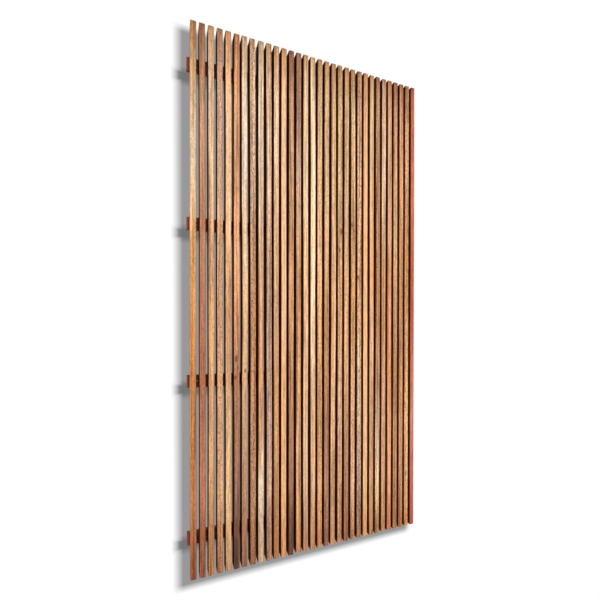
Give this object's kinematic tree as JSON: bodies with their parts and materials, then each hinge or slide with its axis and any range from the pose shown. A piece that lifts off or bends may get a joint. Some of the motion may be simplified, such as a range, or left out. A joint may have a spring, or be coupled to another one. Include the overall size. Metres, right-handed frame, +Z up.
{
  "type": "slatted garden privacy screen",
  "caption": "Upright timber slats set on edge with narrow gaps, screwed from behind to four cross rails; a fixed outdoor privacy panel for a wall or posts.",
  "frame": {"origin": "centre of the plane of the rails' rear faces, which lie against the wall or posts, half way up and half way across", "axes": "+X along the width, -Y out of the slatted front, +Z up"},
  "size_m": [0.9, 0.055, 1.8],
  "materials": {
    "timber_honey": "oiled, planed",
    "timber_terracotta": "oiled, planed",
    "timber_tan": "oiled, planed",
    "timber_olive": "oiled, planed",
    "timber_cream": "oiled, planed",
    "timber_brown": "oiled, planed",
    "timber_mauve": "oiled, planed",
    "timber_peach": "oiled, planed",
    "timber_vermilion": "oiled, planed",
    "rail_timber": "dark red stain",
    "screw_steel": "plain stainless"
  },
  "bodies": {
    "root": {"slat_01": "timber_honey", "slat_02": "timber_terracotta", "slat_03": "timber_tan", "slat_04": "timber_olive", "slat_05": "timber_honey", "slat_06": "timber_terracotta", "slat_07": "timber_cream", "slat_08": "timber_brown", "slat_09": "timber_tan", "slat_10": "timber_mauve", "slat_11": "timber_olive", "slat_12": "timber_peach", "slat_13": "timber_mauve", "slat_14": "timber_brown", "slat_15": "timber_tan", "slat_16": "timber_cream", "slat_17": "timber_terracotta", "slat_18": "timber_brown", "slat_19": "timber_tan", "slat_20": "timber_brown", "slat_21": "timber_brown", "slat_22": "timber_olive", "slat_23": "timber_mauve", "slat_24": "timber_peach", "slat_25": "timber_honey", "slat_26": "timber_brown", "slat_27": "timber_cream", "slat_28": "timber_peach", "slat_29": "timber_olive", "slat_30": "timber_brown", "slat_31": "timber_brown", "slat_32": "timber_vermilion", "rail_top": "rail_timber", "rail_upper": "rail_timber", "rail_lower": "rail_timber", "rail_bottom": "rail_timber", "screws_rail_top": "screw_steel", "screws_rail_upper": "screw_steel", "screws_rail_lower": "screw_steel", "screws_rail_bottom": "screw_steel"}
  },
  "joints": []
}
